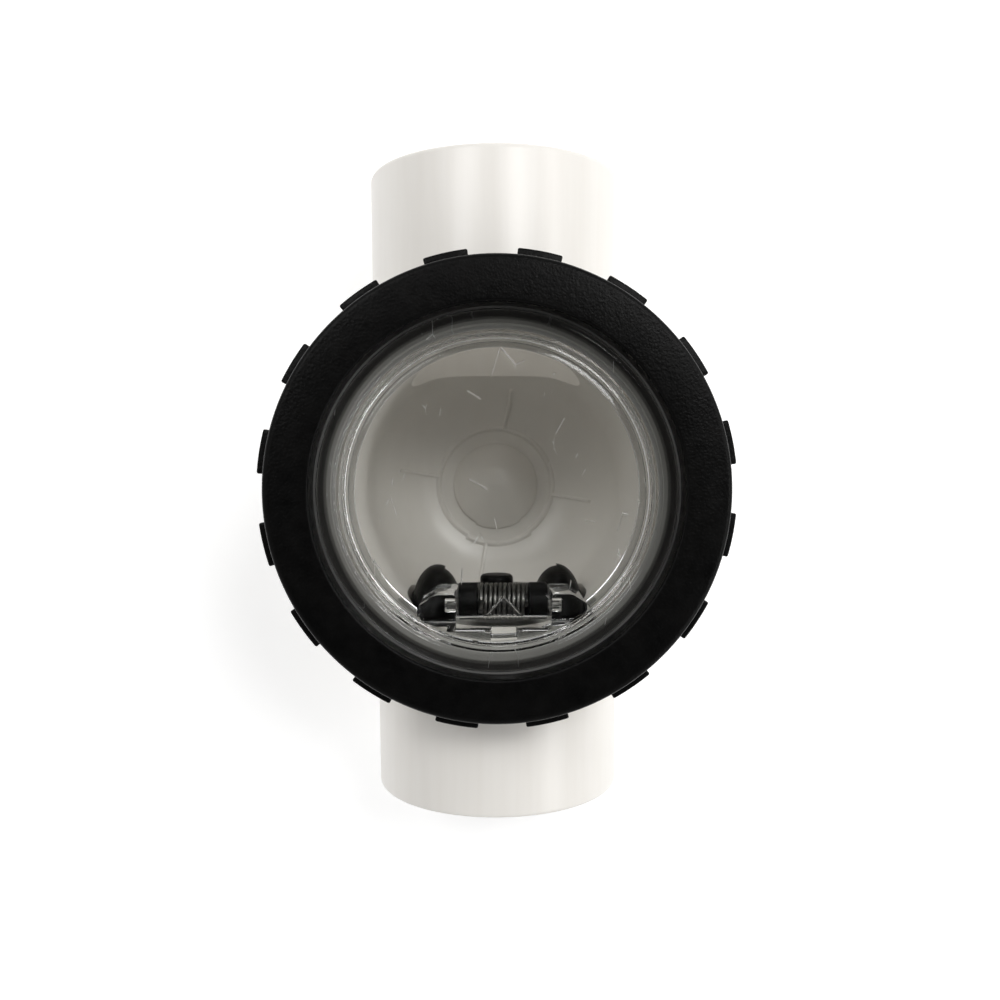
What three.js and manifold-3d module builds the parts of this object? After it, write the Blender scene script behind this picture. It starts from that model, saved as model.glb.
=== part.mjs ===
// In-line swing check valve with a clear sight lid, for 2 inch solvent-weld pipe.
// Millimetres, +Z up. The pipe runs along Y, water flows towards +Y, and the foot stands on z = 0.
// Inside the valve group, z is measured from the pipe axis.
import * as THREE from "three";
import { mergeVertices } from "three/addons/utils/BufferGeometryUtils.js";
import Module from "manifold-3d";

const wasm = await Module();
wasm.setup();

// ---- driving dimensions ----
const AXIS_HEIGHT = 45; // pipe axis above the surface that the foot stands on
const GAP = 0.3; // clearance between neighbouring pieces
const OVERSHOOT = 5; // how far a cutting tool runs past the face that it cuts

// pipe hubs
const HUB_RADIUS = 36.5;
const HUB_END = 90.4; // pipe axis, from the middle of the valve to the end of each hub
const HUB_EDGE = 1.2; // chamfer round each hub end
const SOCKET_RADIUS = 30.25; // takes a 60.3 mm pipe, tapered so that the pipe wedges
const SOCKET_TAPER = 0.2;
const SOCKET_DEPTH = 38;
const SOCKET_LEAD = 1.0; // lead-in chamfer at the mouth
const BORE_RADIUS = 26.2;

// chamber: an upright cylinder with a rounded bowl at the bottom
const CHAMBER_RADIUS = 41.5;
const WALL = 5;
const BOWL_CENTRE_Z = -14; // height at which the wall starts to curve into the bowl
const BOWL_CURVE = 24; // inner radius of that curve
const FOOT_INNER = 16;
const FOOT_OUTER = 21.5;
const FOOT_HOLLOW = 5; // how far the underside rises inside the foot
const FOOT_FLARE = 1; // how far outside the foot the bowl's curve meets it
const HOLLOW_SAG = 0.85; // share of that rise left halfway out
const HOLLOW_EDGE = 2; // from the foot to where the hollow turns down
const DOME_RADIUS = 15;
const DOME_STEP = 1.2;
const DOME_RISE = 4.5;
const BEAD_RADIUS = 20.6; // low bead round the dome
const BEAD_HEIGHT = 0.8;
const BEAD_TOP_HALF = 0.4; // half width of the bead at its top
const BEAD_FOOT_HALF = 0.8; // and at its foot
const BOWL_START = -80; // degrees, where the bowl's curve leaves the bead
const RIB_COUNT = 4;
const RIB_TURN = -9.5; // degrees
const RIB_WIDTH = 1.2;
const RIB_HEIGHT = 0.7;

// neck, with a seal groove in its top face and a thread outside
const RIM_Z = 47.8;
const RIM_EDGE = 0.5; // chamfer outside the rim
const MOUTH_EDGE = 0.8; // chamfer inside it, which leads the lid's plug in
const NECK_RADIUS = 52.7;
const NECK_START_Z = 25.5;
const NECK_FULL_Z = 32.5;
const GROOVE_RADIUS = 47.5;
const GROOVE_WIDTH = 4.2;
const GROOVE_DEPTH = 3.1;
const SEAL_SECTION = 1.45; // section radius of the lid's O-ring

// thread: right handed, so the ring climbs as it turns anticlockwise
const THREAD_PITCH = 4;
const THREAD_HEIGHT = 1.5;
const TOOTH_ROOT = 1.0; // half width of a tooth at its root
const TOOTH_TIP = 0.5;
const TOOTH_BURY = 0.4; // how far a tooth runs into the wall behind it
const BODY_THREAD_Z = [39.2, 45.8];
const RING_THREAD_Z = [39.9, 46.4];

// seat: a pocket in the inlet wall that the flapper hangs in
const SEAT_Y = -38;
const SEAT_BORE = 22.8;
const SEAT_LAND_RADIUS = 27.9;
const POCKET_RADIUS = 27.5;
const POCKET_RISE = 8.6; // room for the flapper when the lid is backed off
const POCKET_FRONT_Y = -20;
const SEAT_BEAD = [23.3, 24.9];
const SEAT_BEAD_HEIGHT = 0.6;

// sight lid
const PLUG_RADIUS = 41.2;
const PLUG_INNER = 38;
const PLUG_BOTTOM_Z = 37.4;
const FLANGE_RADIUS = 51.6;
const FLANGE_Z = [48.3, 51.6];
const WINDOW_Z = [48.6, 52.4];
const COLLAR_RADIUS = 45.1;
const COLLAR_Z = 54.5;
const BAND_INNER = 40.9; // inner edge of the flat band round the window
const PLUG_EDGE = 0.8; // bevel outside the plug, and where its inside meets the window
const PLUG_FINE_EDGE = 0.4; // bevel inside the plug's lower end
const FLANGE_EDGE = 0.3;
// how far in and how far down each step is
const COLLAR_ROUND = [[0.1, 1], [0.4, 0.35], [1.3, 0]]; // the collar's rounded outer edge, side to top
const BAND_LEDGE = [[0, 0], [0.6, 0.5], [1.5, 0.6]]; // from the band down to the ledge inside it
const WINDOW_RING = [[2.4, -0.3], [3.4, 0]]; // fine ring round the window, standing on its face

// slip washer between the lid's flange and the lock ring
const WASHER_RADII = [45.4, 51.4];
const WASHER_THICKNESS = 0.9;

// lock ring
const RING_OPENING = 45.9;
const RING_RADIUS = 57.3;
const RING_BOTTOM_Z = 37.5;
const RING_LIP_Z = 53.1;
const RING_TOP_Z = 60;
const RING_EDGE = 1.6;
const RING_SKIRT_INNER = 54.9;
const LUG_COUNT = 16;
const LUG_FIRST = 12.1; // degrees
const LUG_ARC = 10.7; // degrees
const LUG_RADIUS = 59.55;
const LUG_Z = [38.6, 55.5];

// hinge, under the inlet side of the lid and a little to one side of its middle
const HINGE_X = 1.5;
const PIN_Y = -30.5;
const PIN_Z = 31.5;
const PIN_RADIUS = 1.55;
const PIN_HALF = 15.2;
const PIN_HOLE_HALF = 15.6; // the holes end blind inside the ears
const EAR_X = [12.4, 22.2]; // from the middle of the hinge
const EAR_Y = [-35.6, -26];
const EAR_BOTTOM_Z = 27;
const EAR_SOFT = 1; // chamfer along the ear's lower edges
const EAR_CORNER = [4.6, 3]; // cut across the outer front corner
const HANG_REACH = 41; // how far from the lid's axis the pieces hung from it may reach
const ARROW_TIP_Y = -26.5;
const ARROW_HALF = 5.4;
const BAR_Y = [-35.7, -31.7]; // thickened strip between the ears, with the arrow on its front
const BAR_Z = 45.4;
const BACK_RIB_HALF = 3.4;
const BACK_RIB_Z = 43.4;

// flapper, measured from the hinge pin in its own group
const PLATE_RADIUS = 27;
const PLATE_Y = [-34.6, -32.6];
const PLATE_RIM_INNER = 25.8;
const PLATE_RIM_Y = -36.4;
const KNUCKLE_X = [6.9, 12.1]; // from the middle of the hinge
const KNUCKLE_RADIUS = 5.4;
const SHOULDER_PLACE = [18.2, 10]; // middle of each rounded shoulder, across and up
const SHOULDER_SIZE = [7.4, 11.3, 15];
const SEAL_RADIUS = 25.4;
const SEAL_Y = [-37.1, -34.9];
const RIVET_SHANK = 2.4;
const RIVET_NECK = 3.4;
const RIVET_HEAD = 5.1;
const RIVET_HEAD_Y = -26.7;
const RETAINER_RADIUS = 9;
const RETAINER_THICKNESS = 1.6;
const RIVET_END_Y = -41.2;

// torsion spring round the pin
const COIL_RADIUS = 4.7;
const WIRE_RADIUS = 0.6;
const COIL_TURNS = 9.5;
const COIL_HALF = 6;
const LEG_LENGTH = 14;
const LEG_LIFT = 3; // how far the lid's leg rises before it bends to the strip

// facets
const ROUND = 48;
const THREAD_STEPS = 24; // steps in each turn of a thread
const SMALL_ROUND = 16;
const TINY_ROUND = 6;
const MERGE = 1e-4;

const deg = THREE.MathUtils.degToRad;

// ---- helpers ----
function solid(geometry) {
  const bare = new THREE.BufferGeometry();
  bare.setAttribute("position", geometry.getAttribute("position"));
  bare.setIndex(geometry.index);
  const merged = mergeVertices(bare, MERGE);
  const mesh = new wasm.Mesh({
    numProp: 3,
    vertProperties: merged.getAttribute("position").array,
    triVerts: new Uint32Array(merged.index.array),
  });
  return new wasm.Manifold(mesh);
}

function geometryOf(made) {
  const mesh = made.getMesh();
  const geometry = new THREE.BufferGeometry();
  geometry.setAttribute("position", new THREE.BufferAttribute(mesh.vertProperties, 3));
  geometry.setIndex(new THREE.BufferAttribute(mesh.triVerts, 1));
  geometry.computeVertexNormals();
  return geometry;
}

// A turned piece about Y. The profile is a list of [radius, height], up the outside and down the inside.
function turnedY(profile, segments = ROUND) {
  const points = profile.map(([radius, height]) => new THREE.Vector2(radius, height));
  return new THREE.LatheGeometry(points, segments);
}

// The same piece, turned about Z.
function turnedZ(profile, segments = ROUND) {
  return turnedY(profile, segments).rotateX(Math.PI / 2);
}

// Points along an arc in a profile, angles in degrees.
function arc(radius, height, size, from, to, steps) {
  const points = [];
  for (let i = 0; i <= steps; i++) {
    const angle = deg(from + ((to - from) * i) / steps);
    points.push([radius + size * Math.cos(angle), height + size * Math.sin(angle)]);
  }
  return points;
}

function box(x, y, z) {
  const geometry = new THREE.BoxGeometry(x[1] - x[0], y[1] - y[0], z[1] - z[0]);
  return geometry.translate((x[0] + x[1]) / 2, (y[0] + y[1]) / 2, (z[0] + z[1]) / 2);
}

// A round bar along X.
function barX(radius, x, y, z, segments = SMALL_ROUND) {
  const geometry = new THREE.CylinderGeometry(radius, radius, x[1] - x[0], segments);
  return geometry.rotateZ(Math.PI / 2).translate((x[0] + x[1]) / 2, y, z);
}

// A shape drawn in Y and Z, given its thickness along X.
function slabX(shape, x, curveSegments = SMALL_ROUND) {
  const options = { depth: x[1] - x[0], bevelEnabled: false, curveSegments };
  const geometry = new THREE.ExtrudeGeometry(shape, options);
  return geometry.rotateY(Math.PI / 2).rotateX(Math.PI / 2).translate(x[0], 0, 0);
}

// A shape drawn in X and Z, given its thickness along Y.
function slabY(shape, y, curveSegments = SMALL_ROUND) {
  const options = { depth: y[1] - y[0], bevelEnabled: false, curveSegments };
  const geometry = new THREE.ExtrudeGeometry(shape, options);
  return geometry.rotateX(Math.PI / 2).translate(0, y[1], 0);
}

function mirrored(x) {
  return [-x[1], -x[0]];
}

// One screw tooth: a straight bar of the tooth's section, wound into a helix.
function helix(rootRadius, tipRadius, z) {
  const inward = Math.sign(tipRadius - rootRadius);
  const section = new THREE.Shape([
    new THREE.Vector2(rootRadius - inward * TOOTH_BURY, -TOOTH_ROOT),
    new THREE.Vector2(rootRadius, -TOOTH_ROOT),
    new THREE.Vector2(tipRadius, -TOOTH_TIP),
    new THREE.Vector2(tipRadius, TOOTH_TIP),
    new THREE.Vector2(rootRadius, TOOTH_ROOT),
    new THREE.Vector2(rootRadius - inward * TOOTH_BURY, TOOTH_ROOT),
  ]);
  const turns = (z[1] - z[0]) / THREAD_PITCH;
  const options = { depth: turns, steps: Math.round(turns * THREAD_STEPS), bevelEnabled: false };
  const geometry = new THREE.ExtrudeGeometry(section, options);
  const position = geometry.getAttribute("position");
  const start = (2 * Math.PI * z[0]) / THREAD_PITCH;
  for (let i = 0; i < position.count; i++) {
    const radius = position.getX(i);
    const height = position.getY(i);
    const turn = position.getZ(i);
    const angle = start + 2 * Math.PI * turn;
    position.setXYZ(
      i,
      radius * Math.cos(angle),
      radius * Math.sin(angle),
      z[0] + turn * THREAD_PITCH + height,
    );
  }
  // Winding the bar round turns its faces inside out, so each triangle is reversed.
  const order = [];
  for (let i = 0; i < position.count; i += 3) order.push(i, i + 2, i + 1);
  geometry.setIndex(order);
  return geometry;
}

// ---- valve body ----
function bowlOutline(offset) {
  const size = BOWL_CURVE + offset;
  const centre = CHAMBER_RADIUS - BOWL_CURVE;
  return { size, centre, bottom: BOWL_CENTRE_Z - size };
}

function chamberOutside() {
  const { size, centre, bottom } = bowlOutline(WALL);
  const footZ = -AXIS_HEIGHT;
  const blend = -90 + THREE.MathUtils.radToDeg(Math.asin((FOOT_OUTER + FOOT_FLARE - centre) / size));
  return turnedZ([
    [0, footZ + FOOT_HOLLOW],
    [FOOT_INNER / 2, footZ + FOOT_HOLLOW * HOLLOW_SAG],
    [FOOT_INNER - HOLLOW_EDGE, bottom + HOLLOW_EDGE / 2],
    [FOOT_INNER, footZ],
    [FOOT_OUTER, footZ],
    ...arc(centre, BOWL_CENTRE_Z, size, blend, 0, 6),
    [CHAMBER_RADIUS + WALL, NECK_START_Z],
    [NECK_RADIUS, NECK_FULL_Z],
    [NECK_RADIUS, RIM_Z - RIM_EDGE],
    [NECK_RADIUS - RIM_EDGE, RIM_Z],
    [0, RIM_Z],
  ]);
}

function chamberInside() {
  const { size, centre, bottom } = bowlOutline(0);
  const capRadius = (DOME_RADIUS ** 2 + DOME_RISE ** 2) / (2 * DOME_RISE);
  const capTop = bottom + DOME_STEP + DOME_RISE;
  const capEdge = 90 - THREE.MathUtils.radToDeg(Math.asin(DOME_RADIUS / capRadius));
  return turnedZ([
    ...arc(0, capTop - capRadius, capRadius, 90, capEdge, 3),
    [DOME_RADIUS, bottom],
    [BEAD_RADIUS - BEAD_FOOT_HALF, bottom + 0.1],
    [BEAD_RADIUS - BEAD_TOP_HALF, bottom + BEAD_HEIGHT],
    [BEAD_RADIUS + BEAD_TOP_HALF, bottom + BEAD_HEIGHT],
    ...arc(centre, BOWL_CENTRE_Z, size, BOWL_START, 0, 6),
    [CHAMBER_RADIUS, RIM_Z - MOUTH_EDGE],
    [CHAMBER_RADIUS + MOUTH_EDGE, RIM_Z],
    [CHAMBER_RADIUS + MOUTH_EDGE, RIM_Z + OVERSHOOT],
    [0, RIM_Z + OVERSHOOT],
  ]);
}

function hubs() {
  return turnedY([
    [0, -HUB_END],
    [HUB_RADIUS - HUB_EDGE, -HUB_END],
    [HUB_RADIUS, -HUB_END + HUB_EDGE],
    [HUB_RADIUS, HUB_END - HUB_EDGE],
    [HUB_RADIUS - HUB_EDGE, HUB_END],
    [0, HUB_END],
  ]);
}

// The passage from the chamber out through one hub, drawn along +Y.
function passage(innerRadius, innerStart) {
  const shoulder = HUB_END - SOCKET_DEPTH;
  return turnedY([
    [0, innerStart],
    [innerRadius, innerStart],
    [innerRadius, shoulder - WALL],
    [BORE_RADIUS, shoulder - WALL / 2],
    [BORE_RADIUS, shoulder],
    [SOCKET_RADIUS, shoulder],
    [SOCKET_RADIUS + SOCKET_TAPER, HUB_END - SOCKET_LEAD],
    [SOCKET_RADIUS + SOCKET_TAPER + SOCKET_LEAD, HUB_END],
    [SOCKET_RADIUS + SOCKET_TAPER + SOCKET_LEAD, HUB_END + OVERSHOOT],
    [0, HUB_END + OVERSHOOT],
  ]);
}

function ringGroove() {
  const half = GROOVE_WIDTH / 2;
  return turnedZ([
    [GROOVE_RADIUS - half, RIM_Z - GROOVE_DEPTH],
    [GROOVE_RADIUS + half, RIM_Z - GROOVE_DEPTH],
    [GROOVE_RADIUS + half, RIM_Z + OVERSHOOT],
    [GROOVE_RADIUS - half, RIM_Z + OVERSHOOT],
    [GROOVE_RADIUS - half, RIM_Z - GROOVE_DEPTH],
  ]);
}

// An upright slot with round ends: the flapper's own outline, drawn out upwards.
function flapperPocket() {
  const outline = new THREE.Shape();
  outline.absarc(0, 0, POCKET_RADIUS, 0, -Math.PI, true);
  outline.absarc(0, POCKET_RISE, POCKET_RADIUS, Math.PI, 0, true);
  return slabY(outline, [SEAT_Y, POCKET_FRONT_Y], ROUND / 2);
}

function seatLand() {
  const length = 2 * OVERSHOOT;
  const geometry = new THREE.CylinderGeometry(SEAT_LAND_RADIUS, SEAT_LAND_RADIUS, length, ROUND);
  return geometry.translate(0, SEAT_Y - length / 2, 0);
}

function seatBead() {
  const [inner, outer] = SEAT_BEAD;
  const front = SEAT_Y + SEAT_BEAD_HEIGHT;
  return turnedY([
    [inner, SEAT_Y - 1],
    [outer, SEAT_Y - 1],
    [outer, SEAT_Y],
    [outer - 0.4, front],
    [inner + 0.4, front],
    [inner, SEAT_Y],
    [inner, SEAT_Y - 1],
  ]);
}

// A low rib that follows the bowl from the bead outwards.
function floorRib(index) {
  const { size, centre } = bowlOutline(0);
  const outline = new THREE.Shape();
  outline.absarc(centre, BOWL_CENTRE_Z, size + 0.5, deg(-82), deg(-45), false);
  outline.absarc(centre, BOWL_CENTRE_Z, size - RIB_HEIGHT, deg(-45), deg(-82), true);
  const options = { depth: RIB_WIDTH, bevelEnabled: false, curveSegments: 3 };
  const geometry = new THREE.ExtrudeGeometry(outline, options);
  geometry.translate(0, 0, -RIB_WIDTH / 2).rotateX(Math.PI / 2);
  return geometry.rotateZ(deg(RIB_TURN + (360 * index) / RIB_COUNT));
}

function valveBody() {
  let body = solid(chamberOutside()).add(solid(hubs()));
  body = body.subtract(solid(chamberInside()));
  body = body.add(solid(seatLand()).subtract(solid(passage(SEAT_BORE, 0).rotateZ(Math.PI))));
  body = body.subtract(solid(flapperPocket()));
  body = body.add(solid(seatBead()));
  body = body.subtract(solid(passage(SEAT_BORE, -SEAT_Y - 2).rotateZ(Math.PI)));
  body = body.subtract(solid(passage(BORE_RADIUS, CHAMBER_RADIUS / 2)));
  body = body.subtract(solid(ringGroove()));
  for (let i = 0; i < RIB_COUNT; i++) body = body.add(solid(floorRib(i)));
  const thread = helix(NECK_RADIUS, NECK_RADIUS + THREAD_HEIGHT, BODY_THREAD_Z);
  return geometryOf(body.add(solid(thread)));
}

// ---- lid ----
function lidDisc() {
  const [flangeLow, flangeHigh] = FLANGE_Z;
  const [windowLow, windowHigh] = WINDOW_Z;
  return turnedZ([
    [0, windowLow],
    [PLUG_INNER - PLUG_EDGE, windowLow],
    [PLUG_INNER, windowLow - PLUG_EDGE],
    [PLUG_INNER, PLUG_BOTTOM_Z + PLUG_FINE_EDGE],
    [PLUG_INNER + PLUG_FINE_EDGE, PLUG_BOTTOM_Z],
    [PLUG_RADIUS - PLUG_EDGE, PLUG_BOTTOM_Z],
    [PLUG_RADIUS, PLUG_BOTTOM_Z + PLUG_EDGE],
    [PLUG_RADIUS, flangeLow],
    [FLANGE_RADIUS - FLANGE_EDGE, flangeLow],
    [FLANGE_RADIUS, flangeLow + FLANGE_EDGE],
    [FLANGE_RADIUS, flangeHigh - FLANGE_EDGE],
    [FLANGE_RADIUS - FLANGE_EDGE, flangeHigh],
    [COLLAR_RADIUS, flangeHigh],
    ...COLLAR_ROUND.map(([inward, down]) => [COLLAR_RADIUS - inward, COLLAR_Z - down]),
    ...BAND_LEDGE.map(([inward, down]) => [BAND_INNER - inward, COLLAR_Z - down]),
    ...WINDOW_RING.map(([inward, down]) => [BAND_INNER - inward, windowHigh - down]),
    [0, windowHigh],
  ]);
}

// A square block with softened lower edges and its outer front corner cut across.
function ear(side) {
  const [back, front] = EAR_Y;
  const [inner, outer] = EAR_X;
  const top = WINDOW_Z[0] + 1;
  const outline = new THREE.Shape();
  outline.moveTo(front, top);
  outline.lineTo(front, EAR_BOTTOM_Z + EAR_SOFT);
  outline.lineTo(front - EAR_SOFT, EAR_BOTTOM_Z);
  outline.lineTo(back + EAR_SOFT, EAR_BOTTOM_Z);
  outline.lineTo(back, EAR_BOTTOM_Z + EAR_SOFT);
  outline.lineTo(back, top);
  const x = side > 0 ? EAR_X : mirrored(EAR_X);
  const plan = new THREE.Shape();
  plan.moveTo(side * inner, back);
  plan.lineTo(side * inner, front);
  plan.lineTo(side * (outer - EAR_CORNER[0]), front);
  plan.lineTo(side * outer, front - EAR_CORNER[1]);
  plan.lineTo(side * outer, back);
  const column = new THREE.ExtrudeGeometry(plan, { depth: top, bevelEnabled: false });
  return solid(slabX(outline, x)).intersect(solid(column));
}

// It points the way that the water flows.
function arrow() {
  const outline = new THREE.Shape();
  const base = BAR_Y[1] - GAP;
  outline.moveTo(-ARROW_HALF, base);
  outline.lineTo(ARROW_HALF, base);
  outline.lineTo(0, ARROW_TIP_Y);
  const options = { depth: WINDOW_Z[0] + 1 - BAR_Z, bevelEnabled: false };
  return new THREE.ExtrudeGeometry(outline, options).translate(0, 0, BAR_Z);
}

// The upright cylinder that whatever hangs from the lid keeps to, so that it comes out with the lid.
function neckRoom(low, high) {
  const room = new THREE.CylinderGeometry(HANG_REACH, HANG_REACH, high - low, ROUND);
  room.rotateX(Math.PI / 2).translate(0, 0, (low + high) / 2);
  return solid(room);
}

function sightLid() {
  const top = WINDOW_Z[0] + 1;
  const ribY = [-HANG_REACH, BAR_Y[0] + 1];
  const pinHole = barX(PIN_RADIUS + GAP, [-PIN_HOLE_HALF, PIN_HOLE_HALF], PIN_Y, PIN_Z);
  let hinge = ear(1).add(ear(-1)).add(solid(arrow()));
  hinge = hinge.add(solid(box([-EAR_X[0] - 1, EAR_X[0] + 1], BAR_Y, [BAR_Z, top])));
  hinge = hinge.add(solid(box([-BACK_RIB_HALF, BACK_RIB_HALF], ribY, [BACK_RIB_Z, top])));
  hinge = hinge.subtract(solid(pinHole)).translate([HINGE_X, 0, 0]);
  return geometryOf(solid(lidDisc()).add(hinge.intersect(neckRoom(0, top))));
}

function roundRing(radius, section, height) {
  const profile = arc(radius, height, section, -90, 270, 6);
  profile[profile.length - 1] = profile[0];
  return turnedZ(profile);
}

function lidORing() {
  return roundRing(GROOVE_RADIUS, SEAL_SECTION, FLANGE_Z[0] - GAP - SEAL_SECTION);
}

function slipWasher() {
  const [inner, outer] = WASHER_RADII;
  const low = FLANGE_Z[1] + GAP;
  const high = low + WASHER_THICKNESS;
  return turnedZ([
    [inner, low],
    [outer, low],
    [outer, high],
    [inner, high],
    [inner, low],
  ]);
}

// ---- lock ring ----
function ringShell() {
  return turnedZ([
    [RING_OPENING, RING_LIP_Z],
    [RING_SKIRT_INNER, RING_LIP_Z],
    [RING_SKIRT_INNER, RING_BOTTOM_Z + 0.6],
    [RING_SKIRT_INNER + 0.6, RING_BOTTOM_Z],
    [RING_RADIUS, RING_BOTTOM_Z],
    ...arc(RING_RADIUS - RING_EDGE, RING_TOP_Z - RING_EDGE, RING_EDGE, 0, 90, 3),
    [RING_OPENING + 0.5, RING_TOP_Z],
    [RING_OPENING, RING_TOP_Z - 0.5],
    [RING_OPENING, RING_LIP_Z],
  ]);
}

function lug(index) {
  const middle = LUG_FIRST + (360 * index) / LUG_COUNT;
  const from = deg(middle - LUG_ARC / 2);
  const to = deg(middle + LUG_ARC / 2);
  const outline = new THREE.Shape();
  outline.absarc(0, 0, LUG_RADIUS, from, to, false);
  outline.absarc(0, 0, RING_RADIUS - 1, to, from, true);
  const options = { depth: LUG_Z[1] - LUG_Z[0], bevelEnabled: false, curveSegments: 2 };
  return new THREE.ExtrudeGeometry(outline, options).translate(0, 0, LUG_Z[0]);
}

function lockRing() {
  let ring = solid(ringShell());
  for (let i = 0; i < LUG_COUNT; i++) ring = ring.add(solid(lug(i)));
  // Half a pitch up, so that its tooth runs between the body's.
  const halfPitch = THREAD_PITCH / 2;
  const span = RING_THREAD_Z.map((z) => z - halfPitch);
  const thread = helix(RING_SKIRT_INNER, RING_SKIRT_INNER - THREAD_HEIGHT, span);
  return geometryOf(ring.add(solid(thread.translate(0, 0, halfPitch))));
}

// ---- hinge pin and spring ----
function hingePin() {
  return barX(PIN_RADIUS, [-PIN_HALF, PIN_HALF], 0, 0);
}

// One leg presses on the front of the flapper, the other on the lid's cross bar.
function torsionSpring() {
  const points = [];
  const stepsPerTurn = 8;
  const steps = COIL_TURNS * stepsPerTurn;
  const pressY = PLATE_Y[1] - PIN_Y + 2 * GAP + WIRE_RADIUS;
  const start = Math.asin(pressY / COIL_RADIUS);
  points.push(new THREE.Vector3(COIL_HALF, pressY, -COIL_RADIUS - LEG_LENGTH));
  points.push(new THREE.Vector3(COIL_HALF, pressY, -COIL_RADIUS - LEG_LENGTH / 2));
  for (let i = 0; i <= steps; i++) {
    const angle = start + (2 * Math.PI * i) / stepsPerTurn;
    points.push(
      new THREE.Vector3(
        COIL_HALF - (2 * COIL_HALF * i) / steps,
        COIL_RADIUS * Math.sin(angle),
        -COIL_RADIUS * Math.cos(angle),
      ),
    );
  }
  const end = points[points.length - 1];
  const restY = BAR_Y[1] - PIN_Y + GAP + WIRE_RADIUS;
  points.push(new THREE.Vector3(-COIL_HALF, (end.y + restY) / 2, end.z + LEG_LIFT));
  points.push(new THREE.Vector3(-COIL_HALF, restY, BAR_Z + WIRE_RADIUS - PIN_Z));
  const path = new THREE.CatmullRomCurve3(points, false, "centripetal");
  const section = new THREE.Shape();
  for (let i = 0; i < TINY_ROUND; i++) {
    const angle = (2 * Math.PI * i) / TINY_ROUND;
    const x = WIRE_RADIUS * Math.cos(angle);
    const y = WIRE_RADIUS * Math.sin(angle);
    if (i === 0) section.moveTo(x, y);
    else section.lineTo(x, y);
  }
  return new THREE.ExtrudeGeometry(section, { steps: 120, extrudePath: path, bevelEnabled: false });
}

// ---- flapper, drawn about the middle of its plate ----
// A rounded hump on the front of the plate, beside the hinge.
function flapperShoulder(side) {
  const [x, y, z] = SHOULDER_SIZE;
  const [across, up] = SHOULDER_PLACE;
  const base = PLATE_Y[0] + 0.2;
  const dome = new THREE.SphereGeometry(1, 20, 14).scale(x, y, z);
  dome.translate(side * across, base, up);
  const front = box([-PLATE_RADIUS, PLATE_RADIUS], [base, base + 2 * y], [-2 * z, 2 * z + up]);
  return solid(dome).intersect(solid(front)).intersect(neckRoom(-PLATE_RADIUS, PLATE_RADIUS));
}

function flapperPlate() {
  const disc = turnedY([
    [0, PLATE_Y[0]],
    [PLATE_RIM_INNER, PLATE_Y[0]],
    [PLATE_RIM_INNER, PLATE_RIM_Y],
    [PLATE_RADIUS - 0.4, PLATE_RIM_Y],
    [PLATE_RADIUS, PLATE_RIM_Y + 0.4],
    [PLATE_RADIUS, PLATE_Y[1] - 1],
    [PLATE_RADIUS - 1, PLATE_Y[1]],
    [0, PLATE_Y[1]],
  ]);
  let plate = solid(disc);
  for (const side of [-1, 1]) {
    const x = (side > 0 ? KNUCKLE_X : mirrored(KNUCKLE_X)).map((value) => value + HINGE_X);
    plate = plate.add(flapperShoulder(side));
    plate = plate.add(solid(box(x, [PLATE_Y[0], PIN_Y + 1], [16, PIN_Z])));
    plate = plate.add(solid(barX(KNUCKLE_RADIUS, x, PIN_Y, PIN_Z)));
  }
  const room = barX(COIL_RADIUS + WIRE_RADIUS + GAP, [-KNUCKLE_X[0], KNUCKLE_X[0]], PIN_Y, PIN_Z);
  const pinHole = barX(PIN_RADIUS + GAP, [-PIN_HALF, PIN_HALF], PIN_Y, PIN_Z);
  plate = plate.subtract(solid(room.translate(HINGE_X, 0, 0)));
  plate = plate.subtract(solid(pinHole.translate(HINGE_X, 0, 0)));
  const hole = new THREE.CylinderGeometry(RIVET_SHANK + GAP, RIVET_SHANK + GAP, 20, SMALL_ROUND);
  plate = plate.subtract(solid(hole.translate(0, PLATE_Y[0], 0)));
  return geometryOf(plate.translate([-HINGE_X, -PIN_Y, -PIN_Z]));
}

function flapperSeal() {
  const hole = RIVET_SHANK + GAP;
  return turnedY([
    [hole, SEAL_Y[0]],
    [SEAL_RADIUS - 0.4, SEAL_Y[0]],
    [SEAL_RADIUS, SEAL_Y[0] + 0.4],
    [SEAL_RADIUS, SEAL_Y[1]],
    [hole, SEAL_Y[1]],
    [hole, SEAL_Y[0]],
  ]);
}

function sealRetainer() {
  const hole = RIVET_SHANK + GAP;
  const high = SEAL_Y[0] - GAP;
  const low = high - RETAINER_THICKNESS;
  return turnedY([
    [hole, low],
    [RETAINER_RADIUS - 0.6, low],
    [RETAINER_RADIUS, low + 0.6],
    [RETAINER_RADIUS, high],
    [hole, high],
    [hole, low],
  ], ROUND / 2);
}

// A mushroom head in front of the flapper, a shank through it, and a spread end behind the retainer.
function sealRivet() {
  const headBack = PLATE_Y[1] + GAP;
  const spread = SEAL_Y[0] - RETAINER_THICKNESS - 2 * GAP;
  return turnedY([
    [0, RIVET_END_Y],
    [RIVET_SHANK + 0.6, RIVET_END_Y],
    [RIVET_SHANK + 1.2, RIVET_END_Y + 0.5],
    [RIVET_SHANK + 1.2, spread],
    [RIVET_SHANK, spread],
    [RIVET_SHANK, headBack],
    [RIVET_NECK, headBack],
    [RIVET_NECK, RIVET_HEAD_Y - 2.9],
    ...arc(RIVET_HEAD - 1.45, RIVET_HEAD_Y - 1.45, 1.45, -90, 90, 4),
    [0, RIVET_HEAD_Y],
  ], ROUND / 2);
}

// ---- materials and assembly ----
function plastic(color, roughness) {
  return new THREE.MeshStandardMaterial({ color, roughness, metalness: 0 });
}

function part(name, geometry, material) {
  const mesh = new THREE.Mesh(geometry, material);
  mesh.name = name;
  return mesh;
}

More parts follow.
